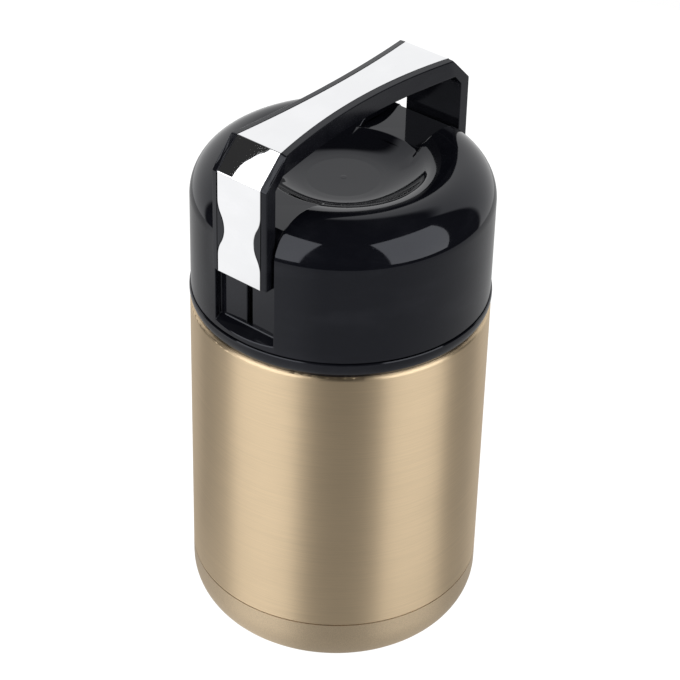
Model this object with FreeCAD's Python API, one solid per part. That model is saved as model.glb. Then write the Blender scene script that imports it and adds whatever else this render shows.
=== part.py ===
"""Insulated food jar with a screw-on domed lid and a sliding carry handle, in millimetres, +Z up."""

import FreeCAD
import Part

import math
import os

# Driving dimensions of the jar body
BODY_R = 58.5
STEEL = 0.8
BASE_CAP_TOP = 24.4
BOTTOM_ARC = 18.0
FOOT_R_IN = 34.6
FOOT_RECESS = 2.4
STEEL_TOP = 145.0
STEEL_CORNER = 1.6
VACUUM_GAP = 4.5
MOUTH_R = 42.5
RIM_TOP = 166.0

# Driving dimensions of the collar ring and the screw neck
RING_BOTTOM = 145.1
RING_TOP = 151.1
RING_R = 58.9
RING_TUCK = 1.5
RING_BULGE_R = 4.3
NECK_R = 46.1
NECK_TOP = 162.5

# Driving dimensions of the domed lid
LID_R = 58.2
LID_BOTTOM = 151.4
LID_WALL = 2.2
SHOULDER_ARC = 15.7
CREST_TOP = 206.2
CREST_ARC = 24.0
CREASE_R = 32.3
CREASE_Z = 203.9
DISH_ARC = 26.9
DISC_R = 14.3
DISC_Z = 197.0
BOWL_R = 46.9
BOWL_CEILING = 191.5
BOWL_CORNER = 3.5
BOWL_WALL = 1.4

# Driving dimensions of the handle channels in the lid
CHANNEL_HALF = 14.2
CHANNEL_FLOOR = 53.2
CHANNEL_TOP = 202.0
RAMP_TOP = 156.0
RAMP_LIP = 153.4
SLOT_HALF = 1.2

# Driving dimensions of the handle, drawn in its raised place
LEG_OUT = 59.2
LEG_IN = 53.9
LEG_BOTTOM = 179.0
LEG_FOLD = 221.2
BAR_END = 48.3
BAR_TOP = 232.0
BAR_CROWN = 1.4
BAR_UNDER = 224.2
HANDLE_HALF = 12.5
HANDLE_WAIST = 8.6
EDGE_WIDTH = 2.1
EDGE_DROP = 1.0
TRIM_HALF = 10.35
TRIM_WAIST = 6.3
TRIM_LEG_WAIST = 7.2
TRIM_WAIST_Z = 198.0
TRIM_WAIST_REACH = 12.0
TRIM_THICK = 1.0
STEM_HALF = 0.9
STEM_LOW = 182.0
STEM_HIGH = 190.0

# Driving dimensions of the stopper and its vent
PLUG_R = 42.2
PLUG_BOTTOM = 150.0
FLANGE_R = 45.4
FLANGE_Z = 167.0
BUTTON_R = 9.2
BUTTON_TOP = 173.6
STEM_R = 2.8
VENT_HOLE_R = 3.2
BOSS_R = 6.6

FAR = 80.0
Z_AXIS = FreeCAD.Vector(0, 0, 1)
PLANES = {
    "xz": lambda a, b: FreeCAD.Vector(a, 0, b),
    "xy": lambda a, b: FreeCAD.Vector(a, b, 0),
    "yz": lambda a, b: FreeCAD.Vector(0, a, b),
}
NORMALS = {
    "xz": FreeCAD.Vector(0, 1, 0),
    "xy": FreeCAD.Vector(0, 0, 1),
    "yz": FreeCAD.Vector(1, 0, 0),
}


class Outline:
    """A closed outline in one plane, drawn from point to point with straight runs and arcs."""

    def __init__(self, a, b, plane="xz"):
        self.plane = plane
        self.steps = [(self._point(a, b), 0.0, 0.0, 0.0)]

    def _point(self, a, b):
        return PLANES[self.plane](a, b)

    def line(self, a, b, corner=0.0, cut=0.0):
        """Straight run to (a, b), where the corner is rounded by a radius or cut off by a length."""
        self.steps.append((self._point(a, b), corner, 0.0, cut))
        return self

    def arc(self, a, b, radius):
        """Arc to (a, b). A positive radius turns left on the way, a negative one turns right."""
        self.steps.append((self._point(a, b), 0.0, radius, 0.0))
        return self

    def _arc_middle(self, start, end, radius):
        chord = end - start
        half = chord.Length / 2
        sagitta = abs(radius) - math.sqrt(max(radius * radius - half * half, 0.0))
        flat = {"xz": (chord.x, chord.z), "xy": (chord.x, chord.y), "yz": (chord.y, chord.z)}[self.plane]
        side = math.copysign(sagitta, radius) / chord.Length
        return (start + end) * 0.5 + self._point(flat[1] * side, -flat[0] * side)

    def face(self):
        """The flat face inside the outline."""
        edges = []
        count = len(self.steps)
        here = self.steps[0][0]
        for index in range(1, count + 1):
            point, corner, radius, cut = self.steps[index % count]
            after = self.steps[(index + 1) % count][0]
            if radius:
                edges.append(Part.Arc(here, self._arc_middle(here, point, radius), point).toShape())
                here = point
                continue
            if not corner and not cut:
                if (point - here).Length > 1e-7:
                    edges.append(Part.makeLine(here, point))
                here = point
                continue
            coming = (point - here).normalize()
            going = (after - point).normalize()
            turn = coming.getAngle(going)
            back = cut or corner * math.tan(turn / 2)
            first = point - coming * back
            last = point + going * back
            edges.append(Part.makeLine(here, first))
            if cut:
                edges.append(Part.makeLine(first, last))
            else:
                inward = (going - coming).normalize()
                middle = point + inward * (corner / math.cos(turn / 2) - corner)
                edges.append(Part.Arc(first, middle, last).toShape())
            here = last
        return Part.Face(Part.Wire(edges))

    def turned(self):
        """The solid that the outline sweeps in a full turn about the jar's axis."""
        return self.face().revolve(FreeCAD.Vector(0, 0, 0), Z_AXIS, 360)

    def pulled(self, low, high):
        """The solid that the outline sweeps from low to high along the normal of its plane."""
        normal = NORMALS[self.plane]
        face = self.face()
        face.translate(normal * low)
        return face.extrude(normal * (high - low))


def box(x0, x1, y0, y1, z0, z1):
    """A block between two opposite corners."""
    return Part.makeBox(x1 - x0, y1 - y0, z1 - z0, FreeCAD.Vector(x0, y0, z0))


def both_sides(shape):
    """The shape and its copy turned half round the jar's axis."""
    other = shape.copy()
    other.rotate(FreeCAD.Vector(0, 0, 0), Z_AXIS, 180)
    return shape, other


def outer_shell():
    """Brushed steel outer wall, from the joggle under the base cap up to the welded neck."""
    inner = BODY_R - STEEL
    low = BODY_R - 1.3
    arc = BOTTOM_ARC - 1.3
    centre = BODY_R - BOTTOM_ARC
    neck = MOUTH_R + STEEL + 0.2
    wall = Outline(centre, BOTTOM_ARC - arc)
    wall.arc(low, BOTTOM_ARC, arc)
    wall.line(low, BASE_CAP_TOP).line(BODY_R, BASE_CAP_TOP + 0.5)
    wall.line(BODY_R, STEEL_TOP, STEEL_CORNER).line(51.0, STEEL_TOP, 2.0)
    wall.line(neck + STEEL, 151.0, cut=0.8).line(neck + STEEL, RIM_TOP - STEEL)
    wall.line(neck, RIM_TOP - STEEL).line(neck, 150.6, cut=0.6)
    wall.line(50.6, STEEL_TOP - STEEL, cut=0.8).line(inner, STEEL_TOP - STEEL, STEEL_CORNER - STEEL)
    wall.line(inner, BASE_CAP_TOP + 0.9).line(low - STEEL, BASE_CAP_TOP + 0.4)
    wall.line(low - STEEL, BOTTOM_ARC).arc(centre, BOTTOM_ARC - arc + STEEL, STEEL - arc)
    return wall.turned()


def inner_liner():
    """Deep-drawn steel food chamber with a narrowed mouth and a rolled rim."""
    outer = BODY_R - STEEL - VACUUM_GAP
    inner = outer - STEEL
    floor = 14.0
    neck = MOUTH_R + STEEL
    wall = Outline(0, floor)
    wall.line(outer, floor, 15.0).line(outer, 136.0, 9.0).line(neck, 146.0, 4.0)
    wall.line(neck, RIM_TOP - STEEL).line(neck + 1.3, RIM_TOP - STEEL)
    wall.line(neck + 1.3, RIM_TOP, 0.5).line(MOUTH_R, RIM_TOP, 0.6)
    wall.line(MOUTH_R, 145.7, 4.8).line(inner, 135.7, 8.2).line(inner, floor + STEEL, 14.2)
    wall.line(0, floor + STEEL)
    return wall.turned()


def base_plate():
    """Welded steel bottom of the vacuum space, with a dimple for the pump-out hole."""
    rim = BODY_R - BOTTOM_ARC - 0.2
    plate = Outline(1.5, 6.6).line(5.0, 6.6).line(6.5, 5.0).line(rim - STEEL, 5.0, cut=0.4)
    plate.line(rim - STEEL, 1.7).line(rim, 1.7).line(rim, 5.0 + STEEL, cut=0.9)
    plate.line(6.9, 5.0 + STEEL).line(5.4, 6.6 + STEEL).line(1.5, 6.6 + STEEL)
    return plate.turned()


def seal_bead():
    """Solder bead that closes the pump-out hole."""
    bead = Outline(0, 5.5).arc(3.2, 6.6, 5.2).line(1.5, 6.6).line(1.5, 7.1).line(0, 7.1)
    return bead.turned()


def getter():
    """Gas-absorbing tablet in its pressed cup, spot-welded inside the vacuum space."""
    cup = Outline(0, 5.8).line(7.0, 5.8).line(7.0, 8.2).line(6.4, 8.2).line(6.4, 7.6).line(0, 7.6)
    tablet = cup.turned()
    tablet.translate(FreeCAD.Vector(21.0, 0, 0))
    return tablet


def base_cap():
    """Satin cap over the rounded bottom, with an annular foot and a recessed middle."""
    centre = BODY_R - BOTTOM_ARC
    wall = 1.0
    cap = Outline(0, FOOT_RECESS).line(FOOT_R_IN - 2.4, FOOT_RECESS, 1.5).line(FOOT_R_IN, 0, 0.8)
    cap.line(centre, 0).arc(BODY_R, BOTTOM_ARC, BOTTOM_ARC)
    cap.line(BODY_R, BASE_CAP_TOP).line(BODY_R - wall, BASE_CAP_TOP).line(BODY_R - wall, BOTTOM_ARC)
    cap.arc(centre, wall, wall - BOTTOM_ARC).line(FOOT_R_IN + 0.5, wall, 0.8)
    cap.line(FOOT_R_IN - 1.9, FOOT_RECESS + wall, 1.5).line(0, FOOT_RECESS + wall)
    return cap.turned()


def neck_collar():
    """Moulded collar: bulging ring under the lid, hollow below, with the screw neck inside."""
    neck_in = MOUTH_R + 2 * STEEL + 0.4
    ring = Outline(55.9, RING_BOTTOM).line(RING_R - RING_TUCK, RING_BOTTOM)
    ring.arc(RING_R - 1.0, RING_TOP, RING_BULGE_R).line(NECK_R, RING_TOP, 0.8)
    ring.line(NECK_R, NECK_TOP, cut=0.4).line(neck_in, NECK_TOP).line(neck_in, 151.4, cut=0.8)
    ring.line(51.2, 145.4).line(51.2, RING_BOTTOM).line(52.8, RING_BOTTOM)
    ring.line(52.8, 149.4, cut=0.6).line(55.9, 149.4, cut=0.6)
    return ring.turned()


def collar_gasket():
    """Silicone ring that seals the collar's neck against the steel neck."""
    neck_in = MOUTH_R + 2 * STEEL + 0.4
    ring = Outline(neck_in, NECK_TOP + 0.1).line(NECK_R - 0.3, NECK_TOP + 0.1)
    ring.line(NECK_R - 0.3, NECK_TOP + 1.4, cut=0.4).line(neck_in, NECK_TOP + 1.4)
    return ring.turned()


def lid_gasket():
    """Silicone ring under the lid's flange, on which the lid turns as it is screwed down."""
    low = RING_TOP + 0.2
    ring = Outline(47.3, low).line(50.5, low, cut=0.3).line(50.5, 153.1, cut=0.3).line(47.3, 153.1)
    return ring.turned()


def dome(inset, bottom):
    """The lid's domed form, from its bottom to its dished top, drawn inset from the outside."""
    crease_r = CREASE_R + 0.41 * inset
    crease_z = CREASE_Z - 0.93 * inset
    form = Outline(0, bottom).line(LID_R - inset, bottom, 0.6)
    form.line(LID_R - inset, CREST_TOP - SHOULDER_ARC)
    form.arc(LID_R - SHOULDER_ARC, CREST_TOP - inset, SHOULDER_ARC - inset)
    form.arc(crease_r, crease_z, CREST_ARC - inset)
    form.arc(DISC_R, DISC_Z - inset, -(DISH_ARC + inset))
    form.line(DISC_R - 0.3, DISC_Z - inset - 0.15).line(0, DISC_Z - inset - 0.15)
    return form.turned()


def channel(inset):
    """The space that one handle leg and one end of the bar sink into, grown by the inset."""
    floor = CHANNEL_FLOOR - inset
    top = CHANNEL_TOP - inset
    lean = 0.41 * inset
    ramp = Outline(floor, RAMP_TOP - lean).line(floor, CHANNEL_TOP - 2.8 - lean)
    ramp.line(floor - 2.5 + lean, top).line(20.0, top).line(20.0, FAR * 3).line(FAR, FAR * 3)
    ramp.line(FAR, RAMP_LIP - 0.6 * inset).line(LID_R + 0.3 - 1.2 * inset, RAMP_LIP - 0.6 * inset)
    return ramp.pulled(-CHANNEL_HALF - inset, CHANNEL_HALF + inset)


def lid_shell():
    """Glossy outer dome with a handle channel down each side and a slot in each channel floor."""
    outside = dome(0, LID_BOTTOM)
    for cut in both_sides(channel(0)):
        outside = outside.cut(cut)
    hollow = dome(LID_WALL, LID_BOTTOM - 2)
    for cut in both_sides(channel(LID_WALL)):
        hollow = hollow.cut(cut)
    shell = outside.cut(hollow)
    gap = box(CHANNEL_FLOOR, FAR, -CHANNEL_HALF, CHANNEL_HALF, LID_BOTTOM - 1, RAMP_LIP)
    slot = box(50.0, 54.0, -SLOT_HALF, SLOT_HALF, RAMP_TOP + 0.4, 190.6)
    for cut in both_sides(gap) + both_sides(slot):
        shell = shell.cut(cut)
    return shell


def lid_liner():
    """Black inner bowl of the lid, with the screw skirt and the flange that closes the dome."""
    outer = BOWL_R + BOWL_WALL
    bowl = Outline(BOWL_R, 153.4).line(BOWL_R, BOWL_CEILING, BOWL_CORNER).line(0, BOWL_CEILING)
    bowl.line(0, BOWL_CEILING + 1.5).line(outer, BOWL_CEILING + 1.5, BOWL_CORNER + BOWL_WALL)
    bowl.line(outer, 154.8, cut=0.6).line(LID_R - LID_WALL - 0.1, 154.8).line(LID_R - LID_WALL - 0.1, 153.4)
    bowl.line(52.3, 153.4).line(52.3, 152.2, cut=0.3).line(50.9, 152.2, cut=0.3).line(50.9, 153.4)
    liner = bowl.turned()
    side = CHANNEL_HALF + LID_WALL + 0.1
    beyond = box(52.6, FAR, -side, side, 153.0, 156.0)
    thinned = box(50.9, FAR, -side, side, 154.0, 156.0)
    for cut in both_sides(beyond) + both_sides(thinned):
        liner = liner.cut(cut)
    return liner


def bar_crown(x, height):
    """Height of the crowned bar at x, from its height at the bar's ends."""
    return height + BAR_CROWN * (1 - (x / BAR_END) ** 2)


def bar_half(x):
    """Half width of the black bar at x, drawn in like an hourglass."""
    return HANDLE_WAIST + (HANDLE_HALF - HANDLE_WAIST) * (x / BAR_END) ** 2


def trim_band(inset):
    """The handle's outer side view, drawn inset from the outside, as a block across the handle."""
    out = LEG_OUT - inset
    fold = LEG_FOLD - 0.41 * inset
    end = BAR_END - 0.41 * inset
    top = BAR_TOP - inset
    crown = (end * end + BAR_CROWN * BAR_CROWN) / (2 * BAR_CROWN)
    view = Outline(-out, LEG_BOTTOM - 1).line(out, LEG_BOTTOM - 1).line(out, fold, 0.8).line(end, top)
    view.arc(-end, top, crown).line(-out, fold, 0.8)
    return view.pulled(-HANDLE_HALF, HANDLE_HALF)


def trim_bar_plan():
    """Top view of the bright trim on the bar, drawn in on both sides."""
    depth = TRIM_HALF - TRIM_WAIST
    radius = (BAR_END ** 2 + depth ** 2) / (2 * depth)
    plan = Outline(-FAR, -TRIM_HALF, "xy").line(-BAR_END, -TRIM_HALF).arc(BAR_END, -TRIM_HALF, -radius)
    plan.line(FAR, -TRIM_HALF).line(FAR, TRIM_HALF).line(BAR_END, TRIM_HALF)
    plan.arc(-BAR_END, TRIM_HALF, -radius).line(-FAR, TRIM_HALF)
    return plan.pulled(0, FAR * 4)


def trim_leg_view():
    """Front view of the bright trim on a leg, with its S-shaped waist."""
    half = (TRIM_HALF - TRIM_LEG_WAIST) / 2
    run = TRIM_WAIST_REACH / 2
    radius = (run * run + half * half) / (2 * half)
    low = TRIM_WAIST_Z - TRIM_WAIST_REACH
    high = TRIM_WAIST_Z + TRIM_WAIST_REACH
    view = Outline(-TRIM_HALF, LEG_BOTTOM, "yz").line(TRIM_HALF, LEG_BOTTOM).line(TRIM_HALF, low)
    view.arc(TRIM_HALF - half, low + run, radius).arc(TRIM_LEG_WAIST, TRIM_WAIST_Z, -radius)
    view.arc(TRIM_HALF - half, high - run, -radius).arc(TRIM_HALF, high, radius)
    view.line(TRIM_HALF, FAR * 4).line(-TRIM_HALF, FAR * 4).line(-TRIM_HALF, high)
    view.arc(half - TRIM_HALF, high - run, radius).arc(-TRIM_LEG_WAIST, TRIM_WAIST_Z, -radius)
    view.arc(half - TRIM_HALF, low + run, -radius).arc(-TRIM_HALF, low, radius)
    return view.pulled(-FAR, FAR)


def trim_strip(proud):
    """The trim's strip along legs, folds and bar, standing proud of the handle by the given height."""
    strip = trim_band(-proud).cut(trim_band(TRIM_THICK))
    return strip.common(trim_bar_plan()).common(trim_leg_view())


def handle_trim():
    """Bright metallised strip let into the outer faces of the legs, the folds and the bar."""
    return trim_strip(0)


def handle_station(outer, inner, half):
    """Cross-section of the handle between an outer and an inner point, with its two bevels."""
    outer = FreeCAD.Vector(outer[0], 0, outer[1])
    inner = FreeCAD.Vector(inner[0], 0, inner[1])
    bevel = outer + (inner - outer).normalize() * EDGE_DROP
    across = FreeCAD.Vector(0, half, 0)
    narrow = FreeCAD.Vector(0, half - EDGE_WIDTH, 0)
    corners = [inner - across, inner + across, bevel + across, outer + narrow, outer - narrow, bevel - across]
    return Part.makePolygon(corners + corners[:1])


def handle_frame():
    """Black handle frame: two legs, folded corners, waisted bar and a stem through each slot."""
    under = BAR_UNDER - 0.2
    stations = []
    for x in (-BAR_END / 2, 0, BAR_END / 2):
        stations.append(handle_station((x, bar_crown(x, BAR_TOP)), (x, bar_crown(x, under)), bar_half(x)))
    folds = [
        handle_station((side * BAR_END, BAR_TOP), (side * (LEG_IN - 3.8), BAR_UNDER), HANDLE_HALF)
        for side in (-1, 1)
    ]
    frame = Part.makeLoft([folds[0]] + stations + [folds[1]], True, False)
    for side, fold in zip((-1, 1), folds):
        knee = handle_station((side * LEG_OUT, LEG_FOLD), (side * LEG_IN, BAR_UNDER - 4.2), HANDLE_HALF)
        foot = handle_station((side * LEG_OUT, LEG_BOTTOM), (side * LEG_IN, LEG_BOTTOM), HANDLE_HALF)
        frame = frame.fuse(Part.makeLoft([fold, knee, foot], True, True))
    frame = frame.cut(trim_strip(1.0))
    stem = box(49.6, LEG_IN + 0.5, -STEM_HALF, STEM_HALF, STEM_LOW, STEM_HIGH)
    for piece in both_sides(stem):
        frame = frame.fuse(piece)
    return frame.removeSplitter()


def slider_shoe():
    """Flat shoe behind the channel floor, fixed to the stem of the leg outside."""
    shoe = box(48.9, 50.7, -6.0, 6.0, LEG_BOTTOM - 1, LEG_BOTTOM + 13)
    upright = [edge for edge in shoe.Edges if abs(edge.tangentAt(0).x) > 0.9]
    shoe = shoe.makeFillet(1.5, upright)
    return shoe.cut(box(49.6, 52.0, -STEM_HALF, STEM_HALF, STEM_LOW, STEM_HIGH))


def stopper_body():
    """Press-in stopper: a hollow plug with a flange and a boss round the vent."""
    body = Outline(VENT_HOLE_R, PLUG_BOTTOM).line(PLUG_R, PLUG_BOTTOM, 3.0).line(PLUG_R, FLANGE_Z)
    body.line(FLANGE_R, FLANGE_Z, 0.6).line(FLANGE_R, FLANGE_Z + 2.6, 0.5).line(44.2, FLANGE_Z + 2.6)
    body.line(44.2, FLANGE_Z + 1.4).line(PLUG_R - 1.8, FLANGE_Z + 1.4)
    body.line(PLUG_R - 1.8, PLUG_BOTTOM + 2, cut=1.2).line(BOSS_R, PLUG_BOTTOM + 2).line(BOSS_R, 163.0)
    body.line(BOSS_R - 1.4, 163.0).line(BOSS_R - 1.4, PLUG_BOTTOM + 2)
    body.line(VENT_HOLE_R, PLUG_BOTTOM + 2)
    return body.turned()


def stopper_cover():
    """Snap-in top plate of the stopper, with a raised hub that the fingers grip."""
    low = FLANGE_Z + 1.4
    hub = BUTTON_R + 0.4
    cover = Outline(hub, low).line(44.0, low).line(44.0, low + 1.8, 0.6).line(37.0, low + 1.8, 2.0)
    cover.line(34.0, low + 1.2, 2.0).line(15.2, low + 1.2, 1.6).line(13.8, BUTTON_TOP - 1.0, 0.9)
    cover.line(hub, BUTTON_TOP - 1.0, 0.4)
    return cover.turned()


def stopper_foam():
    """Insulating foam ring inside the stopper."""
    ring = Outline(BOSS_R + 0.3, 152.3).line(40.1, 152.3, cut=1.4).line(40.1, 166.4).line(BOSS_R + 0.3, 166.4)
    return ring.turned()


def stopper_gasket():
    """Silicone ring between the stopper's flange and the steel rim."""
    ring = Outline(PLUG_R + 0.3, 166.15).line(FLANGE_R - 0.2, 166.15, cut=0.25)
    ring.line(FLANGE_R - 0.2, FLANGE_Z).line(PLUG_R + 0.3, FLANGE_Z)
    return ring.turned()


def vent_button():
    """Round push button with a skirt and a tubular stem that reaches through the stopper."""
    under = BUTTON_TOP - 2.6
    button = Outline(0, under).line(0, BUTTON_TOP - 0.5).arc(BUTTON_R - 1.0, BUTTON_TOP - 0.1, 110.0)
    button.line(BUTTON_R, BUTTON_TOP - 0.5, 0.6).line(BUTTON_R, 169.4).line(BUTTON_R - 1.2, 169.4)
    button.line(BUTTON_R - 1.2, under).line(STEM_R, under).line(STEM_R, 150.4)
    button.line(1.6, 150.4).line(1.6, 157.0).line(0, 157.0)
    return button.turned()


def vent_seal():
    """Silicone seal under the stopper, plugged into the button's stem."""
    seal = Outline(0, 148.2).line(4.2, 148.2, cut=0.6).line(6.0, 149.8).line(1.5, 149.8)
    seal.line(1.5, 156.0, cut=0.4).line(0, 156.0)
    return seal.turned()


def vent_spring():
    """Coil spring round the button's stem, standing on the stopper's floor."""
    wire_r = 0.35
    coil_r = 4.0
    low = PLUG_BOTTOM + 2 + wire_r + 0.05
    high = BUTTON_TOP - 2.6 - wire_r - 0.05
    turns = 5
    per_turn = 12
    sides = 6
    sections = []
    for step in range(turns * per_turn + 1):
        angle = 2 * math.pi * step / per_turn
        height = low + (high - low) * step / (turns * per_turn)
        ring = []
        for side in range(sides + 1):
            round_wire = 2 * math.pi * side / sides
            reach = coil_r + wire_r * math.cos(round_wire)
            rise = height + wire_r * math.sin(round_wire)
            ring.append(FreeCAD.Vector(reach * math.cos(angle), reach * math.sin(angle), rise))
        sections.append(Part.makePolygon(ring))
    return Part.makeLoft(sections, True, True)


def build():
    """Every separate piece of the jar, under the name of its node."""
    left, right = both_sides(slider_shoe())
    return {
        "outer_shell": outer_shell(),
        "inner_liner": inner_liner(),
        "base_plate": base_plate(),
        "seal_bead": seal_bead(),
        "getter": getter(),
        "base_cap": base_cap(),
        "neck_collar": neck_collar(),
        "collar_gasket": collar_gasket(),
        "lid_gasket": lid_gasket(),
        "lid_shell": lid_shell(),
        "lid_liner": lid_liner(),
        "handle_frame": handle_frame(),
        "handle_trim": handle_trim(),
        "slider_shoe_right": left,
        "slider_shoe_left": right,
        "stopper_body": stopper_body(),
        "stopper_cover": stopper_cover(),
        "stopper_foam": stopper_foam(),
        "stopper_gasket": stopper_gasket(),
        "vent_button": vent_button(),
        "vent_seal": vent_seal(),
        "vent_spring": vent_spring(),
    }


os.makedirs("parts", exist_ok=True)
for name, shape in build().items():
    shape.exportStep(f"parts/{name}.step")
    size = shape.BoundBox
    print(f"{name}: {len(shape.Solids)} solid, valid {shape.isValid()}, volume {shape.Volume:.0f},"
          f" z {size.ZMin:.1f} to {size.ZMax:.1f}, x {size.XMin:.1f} to {size.XMax:.1f}")
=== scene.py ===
"""Fine forms, finishes and studio table of the insulated food jar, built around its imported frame."""

import math

import bmesh
import bpy
from bpy.props import FloatProperty, FloatVectorProperty, IntProperty, PointerProperty
from bpy.types import Operator, Panel, PropertyGroup
from mathutils import Matrix, Vector


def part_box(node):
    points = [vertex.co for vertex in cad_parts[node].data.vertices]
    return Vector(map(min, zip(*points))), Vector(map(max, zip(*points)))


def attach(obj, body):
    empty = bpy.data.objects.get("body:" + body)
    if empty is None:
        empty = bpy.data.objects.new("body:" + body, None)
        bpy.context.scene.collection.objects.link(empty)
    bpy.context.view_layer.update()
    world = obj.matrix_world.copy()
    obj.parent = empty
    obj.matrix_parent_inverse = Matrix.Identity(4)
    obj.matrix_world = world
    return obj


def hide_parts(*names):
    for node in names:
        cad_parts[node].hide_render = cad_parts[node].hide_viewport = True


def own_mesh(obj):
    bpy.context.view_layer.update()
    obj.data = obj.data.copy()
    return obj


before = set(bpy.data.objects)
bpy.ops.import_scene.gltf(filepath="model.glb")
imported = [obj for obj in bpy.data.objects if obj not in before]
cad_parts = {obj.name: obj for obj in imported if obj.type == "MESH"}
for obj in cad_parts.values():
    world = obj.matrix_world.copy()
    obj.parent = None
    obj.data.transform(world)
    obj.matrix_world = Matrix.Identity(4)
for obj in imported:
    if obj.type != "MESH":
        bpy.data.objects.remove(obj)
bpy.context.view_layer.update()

bl_info = {
    "name": "Insulated food jar",
    "version": (1, 0, 0),
    "blender": (4, 5, 0),
    "location": "3D View > Sidebar > Food jar",
    "description": "Builds the fine forms, finishes and studio table of an insulated food jar",
    "category": "Object",
}

AXIS = Vector((0.0, 0.0, 1.0))
ORIGIN = (0.0, 0.0, 0.0)
FULL_TURN = 2 * math.pi
WELD = 2e-6  # vertices nearer than this, in metres, are one
STRAY = 0.0001  # a vertex further than this past its piece's box was thrown out by a bevel

LID_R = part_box("lid_shell")[1].y
LID_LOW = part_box("lid_shell")[0].z
LID_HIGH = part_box("lid_shell")[1].z
LID_STEPS = 120
HANDLE_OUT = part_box("handle_frame")[1].x
HANDLE_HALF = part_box("handle_frame")[1].y
RING_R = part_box("neck_collar")[1].y
NECK_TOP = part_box("neck_collar")[1].z
RING_STEPS = 128
THREAD_STEPS = 54
THREAD_ROOT = 0.3  # depth of a rib's root inside its neck or skirt, as a share of its height
THREAD_SINK = 1.05  # drop of a rib's crest at its two ends, as a share of its height

# Distances, in metres, that tell the lid's faces apart while its channels are cut.
CHANNEL_FROM = 0.020  # from the axis to where the search for channel faces starts
CHANNEL_NEAR = 0.024  # beside the middle of a channel
CREST_FROM = 0.033  # from the axis to the inner side of the crest
WALL_FROM = 0.035  # from the axis to the inner side of the lid's outer slope
RAMP_BELOW = 0.002  # under a ramp's outer end
RAMP_PAST = 0.0003  # past the lid's side, to where a ramp's slope is drawn on
CHAMFER_RUN = 0.893  # run of the slope under the notch, as a share of its drop

# A quarter turn sets the blurred direction of a lathed surface upright, as brushing round the body does.
HOOP_BRUSHED = 0.25

# Brushed steels: colour, roughness, depth of the streaks in it, and anisotropy.
BRUSHINGS = {
    "champagne_steel": ("steel", 0.42, 0.07, 0.9),
    "bare_steel": ("bare", 0.27, 0.14, 0.5),
}

# Moulded plastics: colour, roughness, strength of the grain and of the flow waves, and dust in the gloss.
MOULDINGS = {
    "gloss_black": ("gloss", 0.05, 0.02, 0.05, 0.10),
    "handle_black": ("handle", 0.13, 0.05, 0.04, 0.15),
    "satin_black": ("satin", 0.42, 0.35, 0.04, 0.10),
    "vent_red": ("vent", 0.35, 0.20, 0.04, 0.10),
    "natural_acetal": ("acetal", 0.38, 0.12, 0.04, 0.10),
}

# Soft boxes: name, degrees to the right of the camera's side, degrees up, and distance, width and height.
SOFT_BOXES = (
    ("soft_box_left", -52.1, 22.0, 1.10, 1.096, 1.30),
    ("soft_box_right", 55.7, 20.0, 1.10, 0.99, 1.30),
)


def length(name, default, description):
    """A size of the jar, in metres."""
    return FloatProperty(name=name, description=description, default=default, unit="LENGTH", precision=5)


def tint(name, default, description):
    """A colour of the jar, in linear light."""
    return FloatVectorProperty(name=name, description=description, default=default, subtype="COLOR", size=3)


def amount(name, default, description):
    """A level of light, or another plain number."""
    return FloatProperty(name=name, description=description, default=default, min=0.0)


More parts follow.
